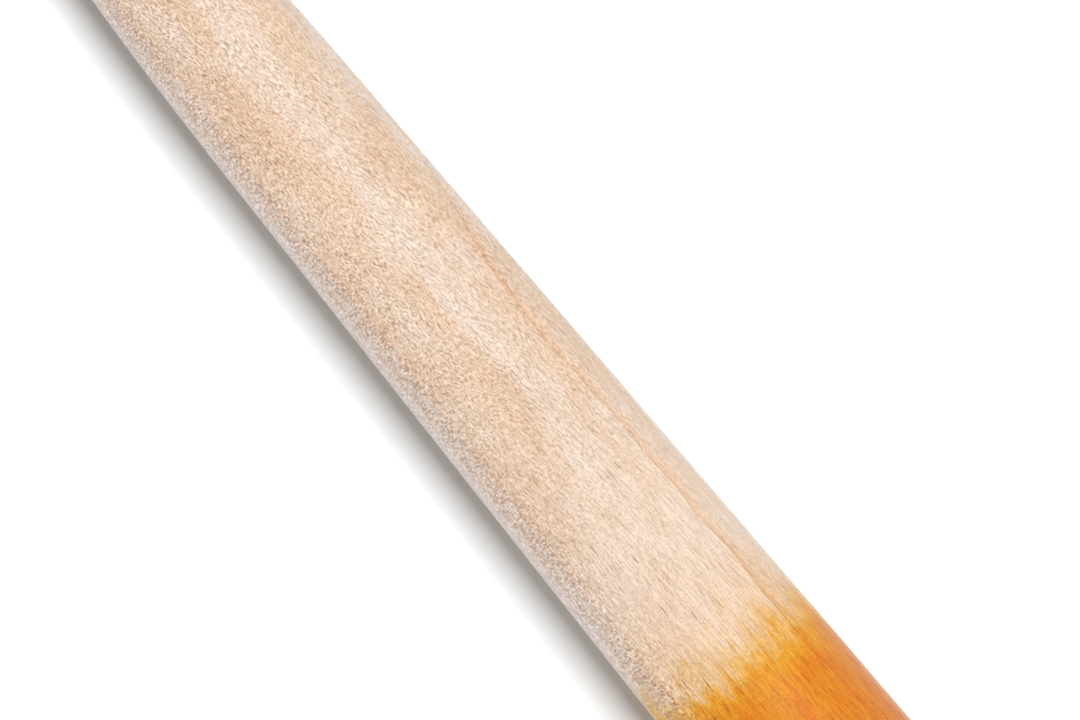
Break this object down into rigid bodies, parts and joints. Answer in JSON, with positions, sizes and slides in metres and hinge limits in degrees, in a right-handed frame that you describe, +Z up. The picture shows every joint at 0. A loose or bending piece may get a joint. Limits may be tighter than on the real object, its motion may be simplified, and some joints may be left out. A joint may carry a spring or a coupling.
{
  "type": "baseball bat",
  "caption": "Full-size turned wooden baseball bat lying at rest, with a stained barrel end, a cupped tip and a wound leather handle grip.",
  "frame": {"origin": "on the surface that the bat lies on, under the middle of its bounding box", "axes": "+X runs from the knob towards the barrel, +Z is up; the bat's own axis rises 0.41 degrees towards +X, because the barrel is thicker than the knob"},
  "size_m": [0.8642, 0.062, 0.062],
  "materials": {
    "wood": "pale maple, smoothly sanded and clear sealed, with a golden amber stain over the last sixth at the barrel end",
    "underlay": "double-sided cloth tape",
    "grip_leather": "dark brown perforated leather strip with skived edges, satin",
    "finish_tape": "black vinyl tape with a low sheen"
  },
  "bodies": {
    "root": {"bat_body": "wood", "grip_underlay": "underlay", "grip_wrap": "grip_leather", "grip_finish_tape": "finish_tape"}
  },
  "joints": []
}
